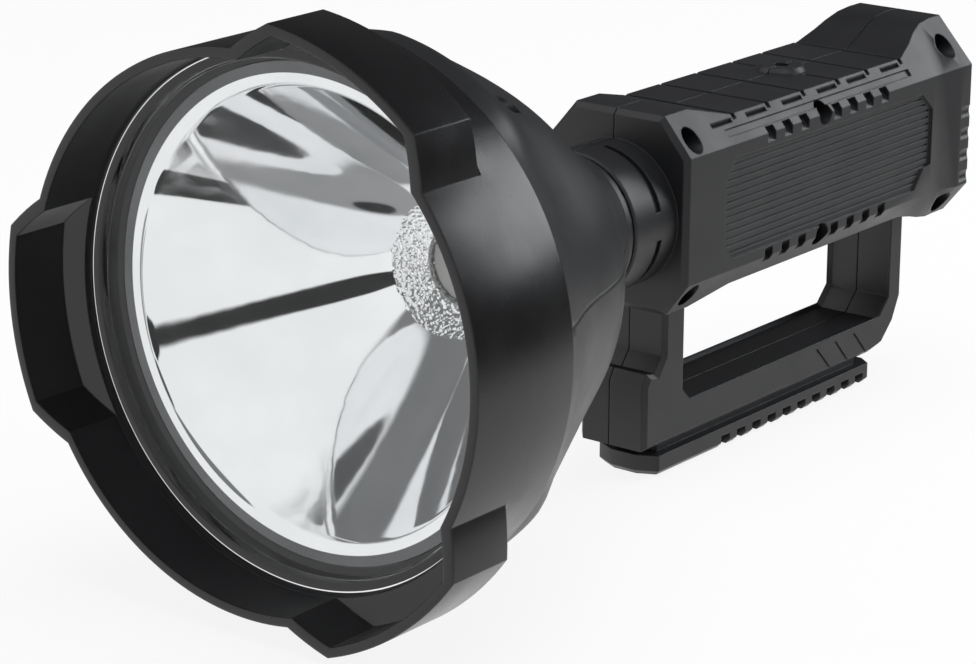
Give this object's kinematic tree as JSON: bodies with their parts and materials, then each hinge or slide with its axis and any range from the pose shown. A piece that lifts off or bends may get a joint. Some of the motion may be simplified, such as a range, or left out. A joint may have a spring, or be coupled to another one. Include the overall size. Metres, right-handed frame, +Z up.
{
  "type": "handheld searchlight",
  "caption": "Handheld LED searchlight: deep lamp bowl in a lugged crown, ribbed clamshell body with a closed grip, slotted foot rail and rear push button.",
  "frame": {"origin": "middle of the flat underside of the foot rail, on the body's mid-plane", "axes": "beam looks along -Y, +Z up from the rail to the lamp axis, +X is the side with the housing screws"},
  "size_m": [0.146, 0.2902, 0.1505],
  "materials": {
    "satin_black_plastic": "satin",
    "charcoal_plastic": "fine matte texture",
    "black_rubber": "matte",
    "reflector_plating": "vacuum plated mirror",
    "clear_lens": "clear",
    "blackened_steel": "blackened",
    "bare_aluminium": "satin",
    "board_green": "satin",
    "board_white": "white coated",
    "lamp_phosphor": "gloss",
    "copper_winding": "enamelled",
    "cell_wrap": "film wrapped",
    "spacer_plastic": "matte",
    "red_insulation": "matte",
    "black_insulation": "matte",
    "green_light_pipe": "clear",
    "red_light_pipe": "clear"
  },
  "bodies": {
    "light": {"crown_bezel": "satin_black_plastic", "lens_retainer": "satin_black_plastic", "front_lens": "clear_lens", "lens_seal": "black_rubber", "reflector": "reflector_plating", "rear_bowl": "charcoal_plastic", "neck_seal": "black_rubber", "bowl_screw_upper": "blackened_steel", "bowl_screw_lower": "blackened_steel", "bowl_screw_far": "blackened_steel", "led_star_board": "board_white", "led_emitter": "lamp_phosphor", "heat_sink": "bare_aluminium", "lead_positive": "red_insulation", "lead_negative": "black_insulation", "body_shell_right": "charcoal_plastic", "body_shell_left": "charcoal_plastic", "cell_upper_right": "cell_wrap", "cell_upper_left": "cell_wrap", "cell_lower_right": "cell_wrap", "cell_lower_left": "cell_wrap", "cell_spacer_front": "spacer_plastic", "cell_spacer_rear": "spacer_plastic", "driver_board": "board_green", "driver_coil": "copper_winding", "control_board": "board_green", "push_switch": "black_insulation", "charge_socket": "bare_aluminium", "rear_panel": "charcoal_plastic", "light_pipe_charge": "red_light_pipe", "light_pipe_power": "green_light_pipe", "foot_rail": "charcoal_plastic", "rail_screw_front": "blackened_steel", "rail_screw_rear": "blackened_steel", "body_screw_front_top": "blackened_steel", "body_screw_front_bottom": "blackened_steel", "body_screw_mid_top": "blackened_steel", "body_screw_mid_bottom": "blackened_steel", "body_screw_rear_top": "blackened_steel", "body_screw_rear_bottom": "blackened_steel"},
    "button": {"power_button": "black_rubber"},
    "flap": {"charge_flap": "black_rubber"}
  },
  "joints": [
    {"name": "button_press", "type": "slide", "parent": "light", "child": "button", "axis": [0, -1, 0], "range_m": [0, 0.001], "stiffness_N_per_m": 1500, "springref_m": -0.0005},
    {"name": "flap_hinge", "type": "hinge", "parent": "light", "child": "flap", "pos_m": [0, 0.0821, 0.0718], "axis": [1, 0, 0], "range_deg": [0, 100]}
  ]
}
